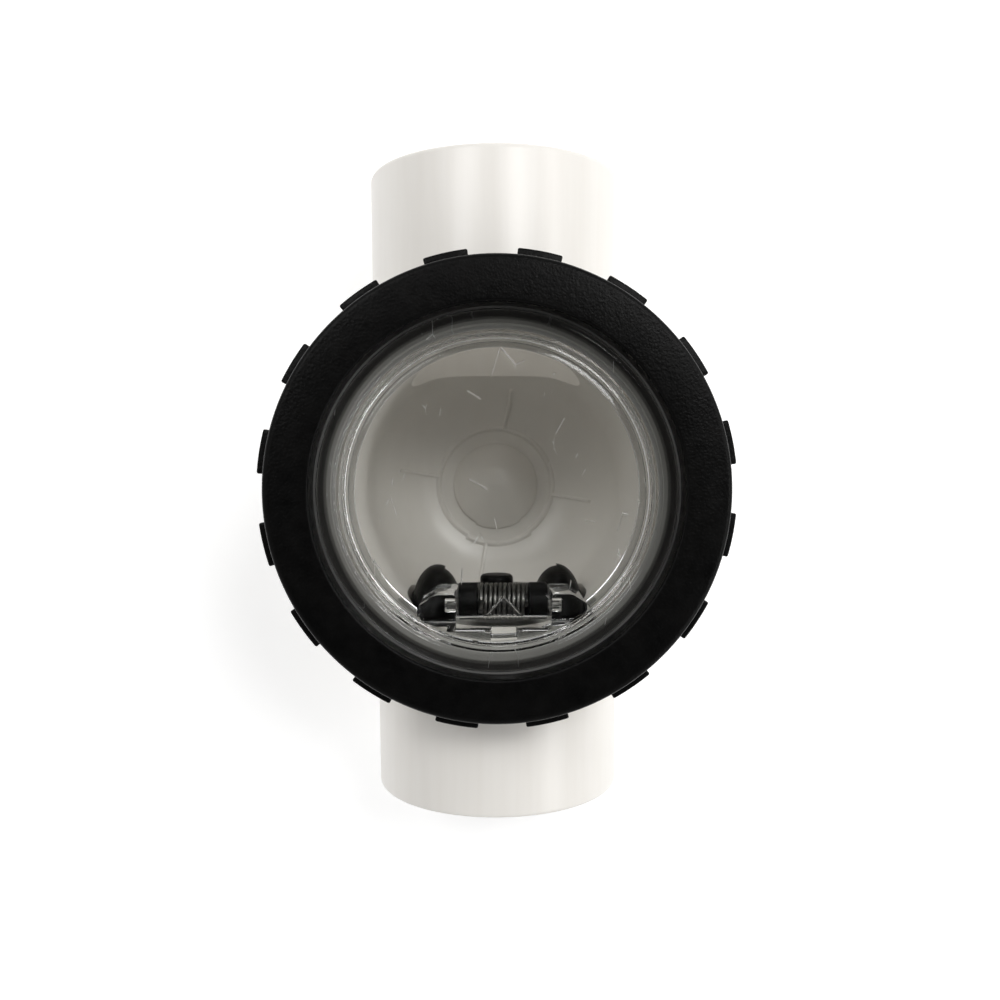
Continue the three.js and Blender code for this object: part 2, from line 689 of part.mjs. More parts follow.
const whitePvc = () => plastic(0xe9e6e0, 0.35);
const blackNylon = () => plastic(0x141414, 0.55);
const rubber = () => plastic(0x0c0c0c, 0.85);
const clearPlastic = () =>
  new THREE.MeshStandardMaterial({ color: 0xdde2e0, roughness: 0.08, transparent: true, opacity: 0.3 });
const steel = () => new THREE.MeshStandardMaterial({ color: 0xb8b8b4, roughness: 0.3, metalness: 1 });

const valve = new THREE.Group();
valve.position.z = AXIS_HEIGHT;
valve.add(part("valve_body", valveBody(), whitePvc()));
valve.add(part("lid_o_ring", lidORing(), rubber()));

const lid = new THREE.Group();
lid.add(part("sight_lid", sightLid(), clearPlastic()));
lid.add(part("slip_washer", slipWasher(), plastic(0xf2f2ee, 0.4)));
lid.add(part("lock_ring", lockRing(), blackNylon()));
valve.add(lid);

const hinge = new THREE.Group();
hinge.position.set(HINGE_X, PIN_Y, PIN_Z);
hinge.add(part("hinge_pin", hingePin(), steel()));
hinge.add(part("torsion_spring", torsionSpring(), steel()));
lid.add(hinge);

const flapper = new THREE.Group();
flapper.add(part("flapper_plate", flapperPlate(), blackNylon()));
const flapperRound = new THREE.Group();
flapperRound.position.set(-HINGE_X, -PIN_Y, -PIN_Z);
flapperRound.add(part("flapper_seal", flapperSeal(), rubber()));
flapperRound.add(part("seal_retainer", sealRetainer(), blackNylon()));
flapperRound.add(part("seal_rivet", sealRivet(), blackNylon()));
flapper.add(flapperRound);
hinge.add(flapper);

const sightCheckValve = new THREE.Group();
sightCheckValve.add(valve);

export default sightCheckValve;
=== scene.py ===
import math

import bmesh
import bpy
from mathutils import Matrix, Vector


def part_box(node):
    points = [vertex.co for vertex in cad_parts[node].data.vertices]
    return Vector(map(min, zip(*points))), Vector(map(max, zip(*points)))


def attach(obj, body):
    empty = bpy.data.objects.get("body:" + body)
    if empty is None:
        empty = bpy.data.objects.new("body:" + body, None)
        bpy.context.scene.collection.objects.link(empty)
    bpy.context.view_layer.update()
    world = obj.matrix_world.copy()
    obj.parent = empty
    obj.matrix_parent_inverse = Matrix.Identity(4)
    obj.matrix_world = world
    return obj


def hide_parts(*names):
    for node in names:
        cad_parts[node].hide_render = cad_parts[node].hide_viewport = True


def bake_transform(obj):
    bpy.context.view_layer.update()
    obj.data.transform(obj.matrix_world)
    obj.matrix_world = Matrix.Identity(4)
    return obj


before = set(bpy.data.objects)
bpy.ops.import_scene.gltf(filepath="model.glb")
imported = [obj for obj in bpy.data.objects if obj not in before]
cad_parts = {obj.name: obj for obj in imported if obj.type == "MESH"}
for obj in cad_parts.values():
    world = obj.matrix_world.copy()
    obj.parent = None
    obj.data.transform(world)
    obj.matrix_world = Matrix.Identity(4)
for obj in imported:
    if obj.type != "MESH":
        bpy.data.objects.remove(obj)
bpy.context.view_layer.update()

# ---- frame ----
# Pieces are drawn in millimetres about the middle of the pipe axis, then placed in the row frame in metres.
MM = 0.001


def row_box(node):
    """Lowest and highest corner of a CAD node, in millimetres about the middle of the pipe axis."""
    low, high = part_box(node)
    return (low - AXIS) / MM, (high - AXIS) / MM


rivet_low, rivet_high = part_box("seal_rivet")
AXIS = Vector((0, 0, (rivet_low.z + rivet_high.z) / 2))  # the rivet sits on the pipe axis

body_low, body_high = row_box("valve_body")
ring_low, ring_high = row_box("lock_ring")
lid_low, lid_high = row_box("sight_lid")
washer_low, washer_high = row_box("slip_washer")
o_ring_low, o_ring_high = row_box("lid_o_ring")
pin_low, pin_high = row_box("hinge_pin")
seal_low, seal_high = row_box("flapper_seal")
retainer_low, retainer_high = row_box("seal_retainer")
rivet_low, rivet_high = row_box("seal_rivet")

HUB_END = body_high.y
RIM_Z = body_high.z
FOOT_Z = body_low.z
HINGE_X = (pin_low.x + pin_high.x) / 2
PIN_Y = (pin_low.y + pin_high.y) / 2
PIN_Z = (pin_low.z + pin_high.z) / 2

# ---- sizes that a node's box doesn't give ----
GAP = 0.3
HUB_RADIUS = 36.5
HUB_ROUND = 1.4
SOCKET_RADIUS = 30.25
SOCKET_TAPER = 0.2
SOCKET_DEPTH = 38
SOCKET_LEAD = 1.0
BORE_RADIUS = 26.2

CHAMBER_RADIUS = 41.5
WALL = 5
BOWL_CENTRE_Z = -14
BOWL_CURVE = 24
FOOT_INNER = 16
FOOT_OUTER = 21.5
FOOT_HOLLOW = 5
DOME_RADIUS = 15
DOME_STEP = 1.2
DOME_RISE = 4.5
BEAD_RADIUS = 20.6
BEAD_HEIGHT = 0.8
RIB_COUNT = 4
RIB_TURN = -9.5
RIB_WIDTH = 1.2
RIB_HEIGHT = 0.7

NECK_RADIUS = 52.7
NECK_START_Z = 25.5
NECK_FULL_Z = 32.5
GROOVE_RADIUS = 47.5
GROOVE_WIDTH = 4.2
GROOVE_DEPTH = 3.1

THREAD_PITCH = 4
THREAD_HEIGHT = 1.5
TOOTH_ROOT = 1.0
TOOTH_TIP = 0.5
TOOTH_BURY = 0.4
TOOTH_FADE = 0.12  # share of a turn over which a tooth rises from the wall
BODY_THREAD_Z = (39.2, 45.8)
RING_THREAD_Z = (39.9, 46.4)

SEAT_Y = -38
SEAT_BORE = 22.8
SEAT_LAND_RADIUS = 27.9
POCKET_RADIUS = 27.5
POCKET_RISE = 8.6
POCKET_FRONT_Y = -20
SEAT_BEAD = (23.3, 24.9)
SEAT_BEAD_HEIGHT = 0.6

PLUG_RADIUS = 41.2
PLUG_INNER = 38
PLUG_BOTTOM_Z = 37.4
FLANGE_RADIUS = lid_high.x
FLANGE_Z = (48.3, 51.6)
WINDOW_Z = (48.6, 52.4)
COLLAR_RADIUS = 45.1
COLLAR_Z = lid_high.z
BAND_INNER = 40.9

WASHER_INNER = 45.4

RING_OPENING = 45.9
RING_RADIUS = 57.3
RING_LIP_Z = 53.1
RING_EDGE = 1.6
RING_SKIRT_INNER = 54.9
LUG_COUNT = 16
LUG_FIRST = 12.1
LUG_ARC = 10.7
LUG_RADIUS = 59.55
LUG_Z = (38.6, 55.5)

PIN_RADIUS = 1.55
PIN_HOLE_HALF = 15.6
EAR_X = (12.4, 22.2)  # from the middle of the hinge
EAR_Y = (-35.6, -26)
EAR_BOTTOM_Z = lid_low.z
EAR_CORNER = (4.6, 3)
HANG_REACH = 41
ARROW_TIP_Y = -26.5
ARROW_HALF = 5.4
BAR_Y = (-35.7, -31.7)
BAR_Z = 45.4
BACK_RIB_HALF = 3.4
BACK_RIB_Z = 43.4

PLATE_RADIUS = 27
PLATE_Y = (-34.6, -32.6)
PLATE_RIM_INNER = 25.8
PLATE_RIM_Y = -36.4
KNUCKLE_X = (6.9, 12.1)  # from the middle of the hinge
KNUCKLE_RADIUS = 5.4
SHOULDER_PLACE = (18.2, 10)
SHOULDER_SIZE = (7.4, 11.3, 15)
RIVET_SHANK = 2.4
RIVET_NECK = 3.4
RIVET_HEAD = 5.1

COIL_RADIUS = 4.7
WIRE_RADIUS = 0.6
COIL_TURNS = 9.5
COIL_HALF = 6
LEG_LENGTH = 14
LEG_LIFT = 3

ROUND = 192  # steps round a large turned piece
SMALL_ROUND = 64
PAINTED_SHADE_FROM_TO = (BAND_INNER - 3, BAND_INNER + 0.2)  # where painted shade starts greying the lid's rim
PAINTED_DARK_BAND_FROM_TO = (COLLAR_RADIUS - 2.2, COLLAR_RADIUS - 1.8)  # and where a darker band of painted shade begins
SCRATCH_TURN = math.radians(35)
SHARP = math.radians(32)  # edges sharper than this stay crisp
OVERSHOOT = 5


# ---- mesh helpers ----
def piece_from(bm, name):
    bmesh.ops.recalc_face_normals(bm, faces=bm.faces)
    mesh = bpy.data.meshes.new(name)
    bm.to_mesh(mesh)
    bm.free()
    piece = bpy.data.objects.new(name, mesh)
    bpy.context.scene.collection.objects.link(piece)
    return piece


def about(axis, point):
    """A point drawn about Z, turned so that it's about the named axis."""
    x, y, z = point
    if axis == "Y":
        return Vector((x, z, -y))
    if axis == "X":
        return Vector((z, y, -x))
    return Vector((x, y, z))


def arc(radius, height, size, start, end, steps=12):
    """Points along an arc in a profile, angles in degrees."""
    angles = [math.radians(start + (end - start) * i / steps) for i in range(steps + 1)]
    return [(radius + size * math.cos(a), height + size * math.sin(a)) for a in angles]


def rounded(profile, steps=5):
    """The profile with each corner that names a third value, its round's size, turned into a curve."""
    closed = profile[0][:2] == profile[-1][:2]
    points = profile[:-1] if closed else profile
    made = []
    for i, corner in enumerate(points):
        place = Vector(corner[:2])
        size = corner[2] if len(corner) > 2 else 0
        ends = not closed and i in (0, len(points) - 1)
        if not size or ends:
            made.append(tuple(place))
            continue
        before = Vector(points[i - 1][:2]) - place
        after = Vector(points[(i + 1) % len(points)][:2]) - place
        reach = min(size, before.length * 0.49, after.length * 0.49)
        start = place + before.normalized() * reach
        end = place + after.normalized() * reach
        for k in range(steps + 1):
            t = k / steps
            made.append(tuple(start * (1 - t) ** 2 + place * 2 * t * (1 - t) + end * t * t))
    if closed:
        made.append(made[0])
    return made


def turned(profile, axis="Z", steps=ROUND, name="turned"):
    """A piece of revolution. Its profile, (radius, height), is closed or runs from the axis back to it."""
    closed = profile[0] == profile[-1]
    points = profile[:-1] if closed else profile
    bm = bmesh.new()
    rings = []
    for radius, height in points:
        count = steps if radius > 1e-6 else 1
        ring = []
        for i in range(count):
            angle = 2 * math.pi * i / steps
            place = (radius * math.cos(angle), radius * math.sin(angle), height)
            ring.append(bm.verts.new(about(axis, place)))
        rings.append(ring)
    pairs = list(zip(rings, rings[1:]))
    if closed:
        pairs.append((rings[-1], rings[0]))
    for lower, upper in pairs:
        for i in range(steps):
            j = (i + 1) % steps
            corners = [lower[k % len(lower)] for k in (i, j)]
            corners += [upper[k % len(upper)] for k in (j, i)]
            unique = list(dict.fromkeys(corners))
            if len(unique) > 2:
                bm.faces.new(unique)
    return piece_from(bm, name)


def slab(outline, low, high, axis, soften=0.0, steps=3, name="slab"):
    """An outline given a thickness along an axis. It is drawn in the other two axes, in their usual order."""

    def place(point, height):
        u, v = point
        return {"X": (height, u, v), "Y": (u, height, v), "Z": (u, v, height)}[axis]

    bm = bmesh.new()
    bottom = [bm.verts.new(place(p, low)) for p in outline]
    top = [bm.verts.new(place(p, high)) for p in outline]
    bm.faces.new(bottom)
    bm.faces.new(top)
    for i in range(len(outline)):
        j = (i + 1) % len(outline)
        bm.faces.new([bottom[i], bottom[j], top[j], top[i]])
    if soften:
        bmesh.ops.recalc_face_normals(bm, faces=bm.faces)
        edges = [e for e in bm.edges if e.calc_face_angle(0) > SHARP]
        form = {"segments": steps, "profile": 0.5, "affect": "EDGES", "clamp_overlap": True}
        bmesh.ops.bevel(bm, geom=edges, offset=soften, **form)
    return piece_from(bm, name)


def block(x, y, z, soften=0.0):
    plan = [(x[0], y[0]), (x[1], y[0]), (x[1], y[1]), (x[0], y[1])]
    return slab(plan, z[0], z[1], "Z", soften, name="block")


def bar_x(radius, x, y, z, soften=0.0):
    """A round bar along X."""
    profile = rounded([(0, x[0]), (radius, x[0], soften), (radius, x[1], soften), (0, x[1])])
    bar = turned(profile, "X", SMALL_ROUND, "bar")
    bar.data.transform(Matrix.Translation((0, y, z)))
    return bar


def tube(points, radius, sides=12, name="tube"):
    """A round wire along a line of points, with flat ends."""
    bm = bmesh.new()
    rings = []
    side = None
    for i, point in enumerate(points):
        along = (points[min(i + 1, len(points) - 1)] - points[max(i - 1, 0)]).normalized()
        if side is None:
            side = along.orthogonal().normalized()
        side = (side - along * side.dot(along)).normalized()
        across = along.cross(side)
        ring = []
        for k in range(sides):
            angle = 2 * math.pi * k / sides
            ring.append(bm.verts.new(point + (side * math.cos(angle) + across * math.sin(angle)) * radius))
        rings.append(ring)
    for lower, upper in zip(rings, rings[1:]):
        for k in range(sides):
            n = (k + 1) % sides
            bm.faces.new([lower[k], lower[n], upper[n], upper[k]])
    bm.faces.new(rings[0])
    bm.faces.new(rings[-1])
    return piece_from(bm, name)


def combine(first, second, how):
    """first joined with, cut by or kept inside second, which is used up."""
    modifier = first.modifiers.new("combine", "BOOLEAN")
    modifier.object = second
    modifier.operation = how
    modifier.solver = "MANIFOLD"
    graph = bpy.context.evaluated_depsgraph_get()
    made = bpy.data.meshes.new_from_object(first.evaluated_get(graph))
    first.modifiers.clear()
    old = first.data
    first.data = made
    bpy.data.meshes.remove(old)
    spare = second.data
    bpy.data.objects.remove(second)
    bpy.data.meshes.remove(spare)
    return first


def join(first, second):
    return combine(first, second, "UNION")


def cut(first, second):
    return combine(first, second, "DIFFERENCE")


def keep(first, second):
    return combine(first, second, "INTERSECT")


def finish_piece(piece, name, body, node, material):
    """Places a drawn piece in the row frame, names it, gives it its material and body, and hides the CAD node
    it stands in for.
    """
    piece.name = name
    piece.data.name = name
    piece.data.transform(Matrix.Translation(AXIS) @ Matrix.Scale(MM, 4))
    piece.data.shade_smooth()
    piece.data.set_sharp_from_angle(angle=SHARP)
    piece.data.materials.clear()
    piece.data.materials.append(material)
    if body:
        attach(piece, body)
    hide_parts(node)
    return piece


def thread(root, crest, span, phase):
    """One screw tooth wound up through span, fading into its wall at both ends."""
    low, high = span
    inward = math.copysign(1, crest - root)
    turns = (high - low) / THREAD_PITCH
    steps = int(turns * 96)
    bm = bmesh.new()
    rings = []
    for i in range(steps + 1):
        turn = turns * i / steps
        fade = min(1, turn / TOOTH_FADE + 0.05, (turns - turn) / TOOTH_FADE + 0.05)
        tip = root + (crest - root) * fade
        angle = 2 * math.pi * ((low - phase) / THREAD_PITCH + turn)
        middle = low + turn * THREAD_PITCH
        section = [
            (root - inward * TOOTH_BURY, -TOOTH_ROOT),
            (root, -TOOTH_ROOT),
            (tip, -TOOTH_TIP),
            (tip, TOOTH_TIP),
            (root, TOOTH_ROOT),
            (root - inward * TOOTH_BURY, TOOTH_ROOT),
        ]
        across, along = math.cos(angle), math.sin(angle)
        rings.append([bm.verts.new((r * across, r * along, middle + h)) for r, h in section])
    for lower, upper in zip(rings, rings[1:]):
        for k in range(len(lower)):
            n = (k + 1) % len(lower)
            bm.faces.new([lower[k], lower[n], upper[n], upper[k]])
    bm.faces.new(rings[0])
    bm.faces.new(rings[-1])
    return piece_from(bm, "thread")


# ---- materials ----
class Shader:
    """A node material with one Principled shader, and short calls to feed it."""

    def __init__(self, name, **plain):
        self.material = bpy.data.materials.new(name)
        self.material.use_nodes = True
        self.tree = self.material.node_tree
        self.tree.nodes.clear()
        self.output = self.add("ShaderNodeOutputMaterial")
        self.main = self.add("ShaderNodeBsdfPrincipled")
        self.link(self.main.outputs[0], self.output.inputs["Surface"])
        for socket, value in plain.items():
            self.main.inputs[socket.replace("_", " ")].default_value = value
        self.place = self.add("ShaderNodeTexCoord").outputs["Object"]

    def add(self, kind, **values):
        node = self.tree.nodes.new(kind)
        for key, value in values.items():
            setattr(node, key, value)
        return node

    def link(self, source, target):
        self.tree.links.new(source, target)

    def noise(self, size, detail=3.0, roughness=0.5, stretch=(1, 1, 1)):
        """Noise whose features are about size millimetres across."""
        mapping = self.add("ShaderNodeMapping")
        mapping.inputs["Scale"].default_value = [s / (size * MM) for s in stretch]
        self.link(self.place, mapping.inputs["Vector"])
        node = self.add("ShaderNodeTexNoise")
        node.inputs["Scale"].default_value = 1.0
        node.inputs["Detail"].default_value = detail
        node.inputs["Roughness"].default_value = roughness
        self.link(mapping.outputs[0], node.inputs["Vector"])
        return node.outputs["Fac"]

    def cells(self, size, feature="F1", stretch=(1, 1, 1), turn=0.0):
        mapping = self.add("ShaderNodeMapping")
        mapping.inputs["Scale"].default_value = [s / (size * MM) for s in stretch]
        mapping.inputs["Rotation"].default_value = (0, 0, turn)
        self.link(self.place, mapping.inputs["Vector"])
        node = self.add("ShaderNodeTexVoronoi", feature=feature)
        node.inputs["Scale"].default_value = 1.0
        self.link(mapping.outputs[0], node.inputs["Vector"])
        return node.outputs["Distance"]

    def spread(self, source, low, high, start=0.0, end=1.0):
        node = self.add("ShaderNodeMapRange")
        for socket, value in (("From Min", start), ("From Max", end), ("To Min", low), ("To Max", high)):
            node.inputs[socket].default_value = value
        self.link(source, node.inputs["Value"])
        return node.outputs["Result"]

    def maths(self, how, first, second):
        node = self.add("ShaderNodeMath", operation=how)
        for socket, value in zip(node.inputs, (first, second)):
            if isinstance(value, (int, float)):
                socket.default_value = value
            else:
                self.link(value, socket)
        return node.outputs[0]

    def tint(self, source, first, second, start=0.3, end=0.7):
        """Base colour that drifts between two colours with the source."""
        ramp = self.add("ShaderNodeValToRGB")
        ramp.color_ramp.elements[0].position = start
        ramp.color_ramp.elements[0].color = (*first, 1)
        ramp.color_ramp.elements[1].position = end
        ramp.color_ramp.elements[1].color = (*second, 1)
        self.link(source, ramp.inputs["Fac"])
        self.link(ramp.outputs["Color"], self.main.inputs["Base Color"])
        return ramp.outputs["Color"]

    def relief(self, source, depth, before=None):
        """Bump of that depth in millimetres, over an earlier one."""
        node = self.add("ShaderNodeBump")
        node.inputs["Strength"].default_value = 1.0
        node.inputs["Distance"].default_value = depth * MM
        self.link(source, node.inputs["Height"])
        if before is not None:
            self.link(before, node.inputs["Normal"])
        self.link(node.outputs["Normal"], self.main.inputs["Normal"])
        return node.outputs["Normal"]

    def rough(self, source, low, high, start=0.0, end=1.0):
        self.link(self.spread(source, low, high, start, end), self.main.inputs["Roughness"])


def white_pvc():
    """Glossy moulded plastic, warm white, with faint flow streaks along the pipe."""
    shader = Shader("white_pvc", IOR=1.5)
    streaks = shader.noise(3, 3, stretch=(1, 0.06, 1))
    shader.tint(streaks, (0.80, 0.772, 0.726), (0.825, 0.80, 0.757))
    shader.rough(shader.noise(12, 2), 0.3, 0.34, 0.3, 0.7)
    shader.relief(shader.noise(0.8, 1), 0.0004)
    return shader.material


def black_nylon(name, grain=0.55, depth=0.05, low=0.28, high=0.38, sheen=0.08):
    """Moulded black plastic with a fine leather-like grain."""
    shader = Shader(name, IOR=1.5, Specular_IOR_Level=sheen)
    drift = shader.noise(8, 4)
    shader.tint(drift, (0.0012, 0.0012, 0.0012), (0.0028, 0.0027, 0.0026))
    shader.rough(shader.noise(3, 5), low, high, 0.3, 0.7)
    pebble = shader.cells(grain, "SMOOTH_F1")
    base = shader.relief(pebble, depth)
    shader.relief(shader.noise(grain * 1.7, 5, 0.65), depth * 1.6, base)
    return shader.material


def rubber():
    shader = Shader("rubber", IOR=1.5)
    shader.tint(shader.noise(4, 4), (0.003, 0.003, 0.003), (0.007, 0.007, 0.007))
    shader.rough(shader.noise(2, 4), 0.7, 0.9)
    shader.relief(shader.noise(0.3, 3), 0.01)
    return shader.material


def washer_plastic():
    shader = Shader("washer_plastic", IOR=1.5)
    shader.tint(shader.noise(6, 3), (0.1, 0.1, 0.097), (0.14, 0.138, 0.133))
    shader.rough(shader.noise(3, 4), 0.35, 0.5)
    shader.relief(shader.noise(0.5, 2), 0.004)
    return shader.material


def steel():
    shader = Shader("steel", Metallic=1.0)
    # steel colour, kept far darker than bare steel: the metal is real, its darkness is painted shade for the
    # pin and spring sitting in shadow under the lid
    shader.tint(shader.noise(1.2, 4), (0.06, 0.058, 0.055), (0.13, 0.127, 0.12))
    shader.rough(shader.noise(0.8, 4), 0.2, 0.42)
    shader.relief(shader.noise(0.25, 3, stretch=(3, 1, 1)), 0.004)
    return shader.material


def clear_plastic():
    """Clear moulded plastic, hazed and scratched, with painted shade greying it towards its rim. Lamps shine
    through it.
    """
    shader = Shader("clear_plastic", Transmission_Weight=1.0, IOR=1.49)
    across = shader.add("ShaderNodeVectorMath", operation="MULTIPLY")
    across.inputs[1].default_value = (1, 1, 0)
    shader.link(shader.place, across.inputs[0])
    reach = shader.add("ShaderNodeVectorMath", operation="LENGTH")
    shader.link(across.outputs[0], reach.inputs[0])
    drift = shader.maths("MULTIPLY", shader.spread(shader.noise(30, 2), 0.995, 1.005), reach.outputs["Value"])
    # painted shade: the lid turns grey towards its rim, then darker in a band near the collar, by distance
    # from its axis, in place of the shade under the lock ring's lip
    painted_rim_shade = shader.spread(drift, 0.0, 0.7, *(edge * MM for edge in PAINTED_SHADE_FROM_TO))
    painted_rim_dark_band = shader.spread(drift, 0.0, 0.3, *(edge * MM for edge in PAINTED_DARK_BAND_FROM_TO))
    colour = shader.tint(shader.maths("ADD", painted_rim_shade, painted_rim_dark_band), (0.975, 0.98, 0.975), (0.54, 0.545, 0.54), 0.0, 0.7)
    colour.node.color_ramp.elements.new(1.0).color = (0.2, 0.2, 0.2, 1)
    long = shader.cells(9, "DISTANCE_TO_EDGE", (1, 0.35, 1), SCRATCH_TURN)
    worn = shader.spread(shader.noise(9, 3), 0.0, 1.0, 0.6, 0.64)
    line = shader.maths("MULTIPLY", shader.spread(long, 1.0, 0.0, 0.004, 0.012), worn)
    haze = shader.spread(shader.noise(7, 5), 0.015, 0.06, 0.35, 0.7)
    scratched = shader.maths("ADD", haze, shader.maths("MULTIPLY", line, 0.5))
    shader.link(scratched, shader.main.inputs["Roughness"])
    swell = shader.relief(shader.noise(14, 2), 0.004)
    shader.relief(line, 0.05, swell)
    through = shader.add("ShaderNodeBsdfTransparent")
    shader.link(colour, through.inputs["Color"])
    path = shader.add("ShaderNodeLightPath")
    mix = shader.add("ShaderNodeMixShader")
    lamp = shader.maths("MAXIMUM", path.outputs["Is Shadow Ray"], path.outputs["Is Diffuse Ray"])
    shader.link(lamp, mix.inputs["Fac"])
    shader.link(shader.main.outputs[0], mix.inputs[1])
    shader.link(through.outputs[0], mix.inputs[2])
    shader.link(mix.outputs[0], shader.output.inputs["Surface"])
    return shader.material


# ---- valve body ----
def chamber_outside():
    size = BOWL_CURVE + WALL
    centre = CHAMBER_RADIUS - BOWL_CURVE
    bottom = BOWL_CENTRE_Z - size
    blend = -90 + math.degrees(math.asin((FOOT_OUTER + 1 - centre) / size))
    return turned(rounded([
        (0, FOOT_Z + FOOT_HOLLOW),
        (FOOT_INNER / 2, FOOT_Z + FOOT_HOLLOW * 0.85, 2),
        (FOOT_INNER - 2, bottom + 1, 1),
        (FOOT_INNER, FOOT_Z, 0.6),
        (FOOT_OUTER, FOOT_Z, 0.6),
        *arc(centre, BOWL_CENTRE_Z, size, blend, 0, 24),
        (CHAMBER_RADIUS + WALL, NECK_START_Z, 2),
        (NECK_RADIUS, NECK_FULL_Z, 2),
        (NECK_RADIUS, RIM_Z, 0.6),
        (0, RIM_Z),
    ]))


def chamber_inside():
    size = BOWL_CURVE
    centre = CHAMBER_RADIUS - BOWL_CURVE
    bottom = BOWL_CENTRE_Z - size
    cap = (DOME_RADIUS ** 2 + DOME_RISE ** 2) / (2 * DOME_RISE)
    top = bottom + DOME_STEP + DOME_RISE
    edge = 90 - math.degrees(math.asin(DOME_RADIUS / cap))
    return turned(rounded([
        *arc(0, top - cap, cap, 90, edge, 16),
        (DOME_RADIUS + 0.1, bottom, 0.8),
        (BEAD_RADIUS - 0.9, bottom + 0.1, 0.4),
        (BEAD_RADIUS - 0.4, bottom + BEAD_HEIGHT, 0.4),
        (BEAD_RADIUS + 0.4, bottom + BEAD_HEIGHT, 0.4),
        *arc(centre, BOWL_CENTRE_Z, size, -80, 0, 28),
        (CHAMBER_RADIUS, RIM_Z - 0.8),
        (CHAMBER_RADIUS + 0.8, RIM_Z),
        (CHAMBER_RADIUS + 0.8, RIM_Z + OVERSHOOT),
        (0, RIM_Z + OVERSHOOT),
    ]))


def hubs():
    return turned(rounded([
        (0, -HUB_END),
        (HUB_RADIUS, -HUB_END, HUB_ROUND),
        (HUB_RADIUS, HUB_END, HUB_ROUND),
        (0, HUB_END),
    ]), "Y")


def passage(inner, start, side):
    """The way from the chamber out through one hub."""
    shoulder = HUB_END - SOCKET_DEPTH
    mouth = SOCKET_RADIUS + SOCKET_TAPER
    profile = [
        (0, start),
        (inner, start),
        (inner, shoulder - WALL),
        (BORE_RADIUS, shoulder - WALL / 2),
        (BORE_RADIUS, shoulder, 0.5),
        (SOCKET_RADIUS, shoulder),
        (mouth, HUB_END - SOCKET_LEAD, 0.4),
        (mouth + SOCKET_LEAD, HUB_END),
        (mouth + SOCKET_LEAD, HUB_END + OVERSHOOT),
        (0, HUB_END + OVERSHOOT),
    ]
    return turned([(r, h * side) for r, h in rounded(profile)], "Y")


def ring_groove():
    half = GROOVE_WIDTH / 2
    floor = RIM_Z - GROOVE_DEPTH
    return turned(rounded([
        (GROOVE_RADIUS - half, floor, 0.4),
        (GROOVE_RADIUS + half, floor, 0.4),
        (GROOVE_RADIUS + half, RIM_Z + OVERSHOOT),
        (GROOVE_RADIUS - half, RIM_Z + OVERSHOOT),
        (GROOVE_RADIUS - half, floor, 0.4),
    ]))


def flapper_pocket():
    """An upright slot with round ends: the flapper's own outline, drawn out upwards."""
    lower = arc(0, 0, POCKET_RADIUS, 0, -180, 48)
    upper = arc(0, POCKET_RISE, POCKET_RADIUS, 180, 0, 48)
    return slab(lower + upper, SEAT_Y, POCKET_FRONT_Y, "Y", name="pocket")


def seat_land():
    back = SEAT_Y - 2 * OVERSHOOT
    return turned([(0, back), (SEAT_LAND_RADIUS, back), (SEAT_LAND_RADIUS, SEAT_Y), (0, SEAT_Y)], "Y")


def seat_bead():
    inner, outer = SEAT_BEAD
    front = SEAT_Y + SEAT_BEAD_HEIGHT
    return turned(rounded([
        (inner, SEAT_Y - 1),
        (outer, SEAT_Y - 1),
        (outer - 0.2, front, 0.5),
        (inner + 0.2, front, 0.5),
        (inner, SEAT_Y - 1),
    ]), "Y")


def floor_rib(index):
    """A low rib that follows the bowl from the bead outwards."""
    centre = CHAMBER_RADIUS - BOWL_CURVE
    outer = arc(centre, BOWL_CENTRE_Z, BOWL_CURVE + 0.5, -82, -45, 12)
    inner = arc(centre, BOWL_CENTRE_Z, BOWL_CURVE - RIB_HEIGHT, -45, -82, 12)
    rib = slab(outer + inner, -RIB_WIDTH / 2, RIB_WIDTH / 2, "Y", 0.3, name="rib")
    turn = math.radians(RIB_TURN + 360 * index / RIB_COUNT)
    rib.data.transform(Matrix.Rotation(turn, 4, "Z"))
    return rib


def valve_body(material):
    body = join(chamber_outside(), hubs())
    cut(body, chamber_inside())
    join(body, cut(seat_land(), passage(SEAT_BORE, 0, -1)))
    cut(body, flapper_pocket())
    join(body, seat_bead())
    cut(body, passage(SEAT_BORE, -SEAT_Y - 2, -1))
    cut(body, passage(BORE_RADIUS, CHAMBER_RADIUS / 2, 1))
    cut(body, ring_groove())
    for i in range(RIB_COUNT):
        join(body, floor_rib(i))
    join(body, thread(NECK_RADIUS, NECK_RADIUS + THREAD_HEIGHT, BODY_THREAD_Z, 0))
    return finish_piece(body, "body_moulding", "body", "valve_body", material)


# ---- lid ----
def lid_disc():
    return turned(rounded([
        (0, WINDOW_Z[0]),
        (PLUG_INNER, WINDOW_Z[0], 0.8),
        (PLUG_INNER, PLUG_BOTTOM_Z, 0.5),
        (PLUG_RADIUS, PLUG_BOTTOM_Z, 0.9),
        (PLUG_RADIUS, FLANGE_Z[0], 0.5),
        (FLANGE_RADIUS, FLANGE_Z[0], 0.5),
        (FLANGE_RADIUS, FLANGE_Z[1], 0.5),
        (COLLAR_RADIUS, FLANGE_Z[1], 0.4),
        (COLLAR_RADIUS - 0.1, COLLAR_Z, 1.2),
        (BAND_INNER, COLLAR_Z, 0.4),
        (BAND_INNER - 0.7, COLLAR_Z - 0.6, 0.3),
        (BAND_INNER - 1.5, COLLAR_Z - 0.6, 0.3),
        (BAND_INNER - 2.4, WINDOW_Z[1] + 0.3, 0.3),
        (BAND_INNER - 3.4, WINDOW_Z[1], 0.3),
        (0, WINDOW_Z[1]),
    ]))


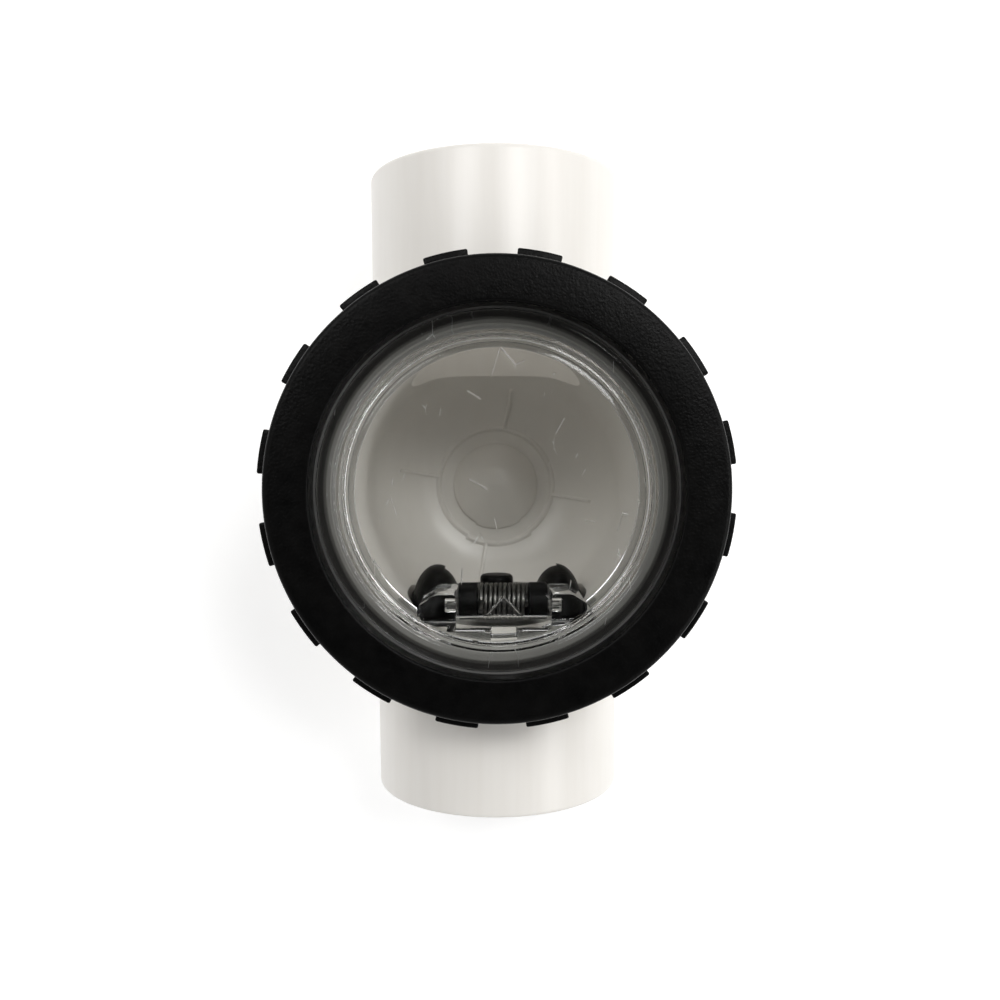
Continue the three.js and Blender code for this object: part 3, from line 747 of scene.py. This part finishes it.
def ear(side):
    """A square block with softened edges and its outer front corner cut across."""
    back, front = EAR_Y
    inner, outer = EAR_X
    plan = [
        (side * inner, back),
        (side * inner, front),
        (side * (outer - EAR_CORNER[0]), front),
        (side * outer, front - EAR_CORNER[1]),
        (side * outer, back),
    ]
    return slab(plan, EAR_BOTTOM_Z, WINDOW_Z[0] + 1, "Z", 0.8, 4, "ear")


def arrow():
    """It points the way that the water flows."""
    base = BAR_Y[1] - GAP
    outline = [(-ARROW_HALF, base), (ARROW_HALF, base), (0, ARROW_TIP_Y)]
    return slab(outline, BAR_Z, WINDOW_Z[0] + 1, "Z", 0.9, 4, "arrow")


def sight_lid(material):
    top = WINDOW_Z[0] + 1
    rib_y = (-HANG_REACH, BAR_Y[0] + 1)
    hinge = join(ear(1), ear(-1))
    join(hinge, block((-EAR_X[0] - 1, EAR_X[0] + 1), BAR_Y, (BAR_Z, top), 0.6))
    join(hinge, block((-BACK_RIB_HALF, BACK_RIB_HALF), rib_y, (BACK_RIB_Z, top), 0.5))
    join(hinge, arrow())
    cut(hinge, bar_x(PIN_RADIUS + GAP, (-PIN_HOLE_HALF, PIN_HOLE_HALF), PIN_Y, PIN_Z))
    hinge.data.transform(Matrix.Translation((HINGE_X, 0, 0)))
    keep(hinge, turned([(0, 0), (HANG_REACH, 0), (HANG_REACH, top), (0, top)]))
    lid = join(lid_disc(), hinge)
    return finish_piece(lid, "lid_moulding", "lid", "sight_lid", material)


def lid_o_ring(material):
    section = (o_ring_high.z - o_ring_low.z) / 2
    height = (o_ring_high.z + o_ring_low.z) / 2
    profile = arc(o_ring_high.x - section, height, section, -90, 270, 24)
    profile[-1] = profile[0]
    return finish_piece(turned(profile), "o_ring", "body", "lid_o_ring", material)


def slip_washer(material):
    inner = WASHER_INNER
    outer = washer_high.x
    washer = turned(rounded([
        (inner, washer_low.z, 0.25),
        (outer, washer_low.z, 0.25),
        (outer, washer_high.z, 0.25),
        (inner, washer_high.z, 0.25),
        (inner, washer_low.z, 0.25),
    ]))
    return finish_piece(washer, "washer", "lid", "slip_washer", material)


# ---- lock ring ----
def ring_shell():
    return turned(rounded([
        (RING_OPENING, RING_LIP_Z, 0.3),
        (RING_SKIRT_INNER, RING_LIP_Z, 0.3),
        (RING_SKIRT_INNER, ring_low.z, 0.6),
        (RING_RADIUS, ring_low.z, 0.5),
        (RING_RADIUS, ring_high.z, RING_EDGE),
        (RING_OPENING, ring_high.z, 0.8),
        (RING_OPENING, RING_LIP_Z, 0.3),
    ]))


def lug(index):
    middle = LUG_FIRST + 360 * index / LUG_COUNT
    start, end = middle - LUG_ARC / 2, middle + LUG_ARC / 2
    outline = arc(0, 0, LUG_RADIUS, start, end, 12) + arc(0, 0, RING_RADIUS - 1, end, start, 12)
    return slab(outline, LUG_Z[0], LUG_Z[1], "Z", 0.45, name="lug")


def lock_ring(material):
    ring = ring_shell()
    for i in range(LUG_COUNT):
        join(ring, lug(i))
    join(ring, thread(RING_SKIRT_INNER, RING_SKIRT_INNER - THREAD_HEIGHT, RING_THREAD_Z, THREAD_PITCH / 2))
    return finish_piece(ring, "ring_moulding", "ring", "lock_ring", material)


# ---- hinge pin and spring ----
def hinge_pin(material):
    pin = bar_x(PIN_RADIUS, (pin_low.x, pin_high.x), PIN_Y, PIN_Z, 0.3)
    return finish_piece(pin, "pin", "lid", "hinge_pin", material)


def torsion_spring(material):
    """One leg presses on the front of the flapper, the other on the lid's cross bar."""
    turn_steps = 32
    steps = int(COIL_TURNS * turn_steps)
    press = PLATE_Y[1] - PIN_Y + 2 * GAP + WIRE_RADIUS
    start = math.asin(press / COIL_RADIUS)
    centre = Vector((HINGE_X, PIN_Y, PIN_Z))
    points = []
    for i in range(12):
        points.append(Vector((COIL_HALF, press, -COIL_RADIUS - LEG_LENGTH * (1 - i / 12))))
    for i in range(steps + 1):
        angle = start + 2 * math.pi * i / turn_steps
        x = COIL_HALF - 2 * COIL_HALF * i / steps
        points.append(Vector((x, COIL_RADIUS * math.sin(angle), -COIL_RADIUS * math.cos(angle))))
    last = points[-1]
    rest = Vector((-COIL_HALF, BAR_Y[1] - PIN_Y + GAP + WIRE_RADIUS, BAR_Z + WIRE_RADIUS - PIN_Z))
    bend = Vector((-COIL_HALF, (last.y + rest.y) / 2, last.z + LEG_LIFT))
    for i in range(1, 13):
        t = i / 12
        points.append(last * (1 - t) ** 2 + bend * 2 * t * (1 - t) + rest * t * t)
    spring = tube([p + centre for p in points], WIRE_RADIUS, 14)
    finish_piece(spring, "spring", None, "torsion_spring", material)
    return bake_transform(spring)


# ---- flapper ----
def shoulder(side):
    """A rounded hump on the front of the plate, beside the hinge."""
    base = PLATE_Y[0] + 0.2
    bm = bmesh.new()
    bmesh.ops.create_uvsphere(bm, u_segments=96, v_segments=64, radius=1)
    bmesh.ops.scale(bm, vec=SHOULDER_SIZE, verts=bm.verts)
    bmesh.ops.translate(bm, vec=(side * SHOULDER_PLACE[0], base, SHOULDER_PLACE[1]), verts=bm.verts)
    dome = keep(piece_from(bm, "shoulder"), turned([
        (0, -PLATE_RADIUS),
        (HANG_REACH, -PLATE_RADIUS),
        (HANG_REACH, PLATE_RADIUS),
        (0, PLATE_RADIUS),
    ]))
    return keep(dome, block((-PLATE_RADIUS, PLATE_RADIUS), (base, 0), (-PLATE_RADIUS, 2 * PLATE_RADIUS)))


def flapper_plate(material):
    plate = turned(rounded([
        (0, PLATE_Y[0]),
        (PLATE_RIM_INNER, PLATE_Y[0]),
        (PLATE_RIM_INNER, PLATE_RIM_Y, 0.3),
        (PLATE_RADIUS, PLATE_RIM_Y, 0.5),
        (PLATE_RADIUS, PLATE_Y[1], 1),
        (0, PLATE_Y[1]),
    ]), "Y")
    for side in (-1, 1):
        x = sorted(HINGE_X + side * reach for reach in KNUCKLE_X)
        join(plate, shoulder(side))
        join(plate, block(x, (PLATE_Y[0], PIN_Y + 1), (16, PIN_Z), 0.4))
        join(plate, bar_x(KNUCKLE_RADIUS, x, PIN_Y, PIN_Z, 0.6))
    room = (HINGE_X - KNUCKLE_X[0], HINGE_X + KNUCKLE_X[0])
    cut(plate, bar_x(COIL_RADIUS + WIRE_RADIUS + GAP, room, PIN_Y, PIN_Z))
    cut(plate, bar_x(PIN_RADIUS + GAP, (pin_low.x, pin_high.x), PIN_Y, PIN_Z))
    hole = RIVET_SHANK + GAP
    low, high = PLATE_Y[0] - 2 * OVERSHOOT, PLATE_Y[0] + 2 * OVERSHOOT
    cut(plate, turned([(0, low), (hole, low), (hole, high), (0, high)], "Y"))
    return finish_piece(plate, "flapper_moulding", "flapper", "flapper_plate", material)


def disc_with_hole(radius, low, high, soft):
    hole = RIVET_SHANK + GAP
    return turned(rounded([
        (hole, low),
        (radius, low, soft),
        (radius, high, soft / 3),
        (hole, high),
        (hole, low),
    ]), "Y")


def flapper_seal(material):
    seal = disc_with_hole(seal_high.x, seal_low.y, seal_high.y, 0.5)
    return finish_piece(seal, "seal", "flapper", "flapper_seal", material)


def seal_retainer(material):
    disc = disc_with_hole(retainer_high.x, retainer_low.y, retainer_high.y, 0.7)
    return finish_piece(disc, "retainer", "flapper", "seal_retainer", material)


def seal_rivet(material):
    """A mushroom head in front of the flapper, a shank through it, and a spread end behind the retainer."""
    back = PLATE_Y[1] + GAP
    spread = retainer_low.y - GAP
    rivet = turned(rounded([
        (0, rivet_low.y),
        (RIVET_SHANK + 1.2, rivet_low.y, 0.6),
        (RIVET_SHANK + 1.2, spread),
        (RIVET_SHANK, spread),
        (RIVET_SHANK, back),
        (RIVET_NECK, back),
        (RIVET_NECK, rivet_high.y - 2.9, 0.4),
        (RIVET_HEAD, rivet_high.y - 2.9, 1.5),
        (RIVET_HEAD, rivet_high.y, 1.7),
        (0, rivet_high.y),
    ]), "Y", SMALL_ROUND)
    return finish_piece(rivet, "rivet", "flapper", "seal_rivet", material)


# ---- studio ----
FLOOR_HALF = 3.0
FLOOR_GLOW = 0.32  # keeps the floor white between the lamps


def floor():
    bm = bmesh.new()
    corners = [(-1, -1), (1, -1), (1, 1), (-1, 1)]
    bm.faces.new([bm.verts.new((x * FLOOR_HALF, y * FLOOR_HALF, 0)) for x, y in corners])
    ground = piece_from(bm, "floor")
    shader = Shader("floor_paint", Roughness=0.9, IOR=1.2)
    shader.tint(shader.noise(400, 2), (0.93, 0.93, 0.93), (0.95, 0.95, 0.95))
    shader.main.inputs["Emission Color"].default_value = (1, 1, 1, 1)
    shader.main.inputs["Emission Strength"].default_value = FLOOR_GLOW
    ground.data.materials.append(shader.material)


def sky():
    """Soft light from all round, dark straight above, where the camera is."""
    world = bpy.data.worlds.new("studio")
    bpy.context.scene.world = world
    world.use_nodes = True
    tree = world.node_tree
    tree.nodes.clear()
    output = tree.nodes.new("ShaderNodeOutputWorld")
    back = tree.nodes.new("ShaderNodeBackground")
    coordinates = tree.nodes.new("ShaderNodeTexCoord")
    split = tree.nodes.new("ShaderNodeSeparateXYZ")
    ramp = tree.nodes.new("ShaderNodeValToRGB")
    links = tree.links
    links.new(coordinates.outputs["Generated"], split.inputs[0])
    links.new(split.outputs["Z"], ramp.inputs["Fac"])
    links.new(ramp.outputs["Color"], back.inputs["Color"])
    links.new(back.outputs[0], output.inputs[0])
    elements = ramp.color_ramp.elements
    elements[0].position = 0.0
    elements[0].color = (0.95, 0.95, 0.95, 1)
    elements[1].position = 0.93
    elements[1].color = (0.006, 0.006, 0.006, 1)
    middle = elements.new(0.74)
    middle.color = (0.92, 0.92, 0.92, 1)
    back.inputs["Strength"].default_value = 0.62


def softbox(name, place, size, power):
    """A lamp that faces the middle of the object, its long side level and square to its direction."""
    light = bpy.data.lights.new(name, "AREA")
    light.shape = "RECTANGLE"
    light.size, light.size_y = size
    light.energy = power
    lamp = bpy.data.objects.new(name, light)
    bpy.context.scene.collection.objects.link(lamp)
    back = (Vector(place) - AXIS).normalized()
    level = Vector((0, 0, 1)).cross(back).normalized()
    turn = Matrix((level, back.cross(level), back)).transposed()
    lamp.matrix_world = Matrix.Translation(place) @ turn.to_4x4()
    return lamp


# name, place and size in metres, power in watts
LAMPS = (
    ("right_strip", (0.75, 0.0, 0.62), (1.6, 0.035), 4),
    ("upper_left_box", (-0.4, 0.42, 0.85), (0.4, 0.3), 2.4),
    ("fill_box", (0.3, 0.36, 0.9), (0.25, 0.25), 2.6),
)
CAMERA_TURNS = (5.12, 0.59, 0.34)  # degrees about X, Y and Z
CAMERA_PLACE = (1.2, -17.9, 283.4)  # millimetres from the pipe axis, along the camera's own axes
CAMERA_LENS = 33.26
CAMERA_SHIFT = 0.046


def camera():
    data = bpy.data.cameras.new("camera")
    data.sensor_width = 36
    data.lens = CAMERA_LENS
    data.shift_y = CAMERA_SHIFT
    data.clip_start = 0.01
    data.clip_end = 50
    about_x, about_y, about_z = (math.radians(a) for a in CAMERA_TURNS)
    turn = Matrix.Rotation(about_z, 3, "Z") @ Matrix.Rotation(about_y, 3, "Y")
    turn = turn @ Matrix.Rotation(about_x, 3, "X")
    back = turn.transposed()
    view = bpy.data.objects.new("camera", data)
    bpy.context.scene.collection.objects.link(view)
    view.matrix_world = Matrix.Translation(back @ (Vector(CAMERA_PLACE) * MM) + AXIS) @ back.to_4x4()
    bpy.context.scene.camera = view


def studio():
    camera()
    floor()
    sky()
    for lamp in LAMPS:
        softbox(*lamp)
    bpy.context.scene.view_settings.view_transform = "Standard"
    bpy.context.scene.view_settings.look = "None"


# ---- assembly ----
pvc = white_pvc()
ring_plastic = black_nylon("ring_nylon")
flapper_plastic = black_nylon("flapper_nylon", 0.4, 0.015, 0.35, 0.5)
seal_rubber = rubber()
clear = clear_plastic()
metal = steel()

valve_body(pvc)
sight_lid(clear)
lid_o_ring(seal_rubber)
slip_washer(washer_plastic())
lock_ring(ring_plastic)
hinge_pin(metal)
torsion_spring(metal)
flapper_plate(flapper_plastic)
flapper_seal(seal_rubber)
seal_retainer(flapper_plastic)
seal_rivet(flapper_plastic)
studio()
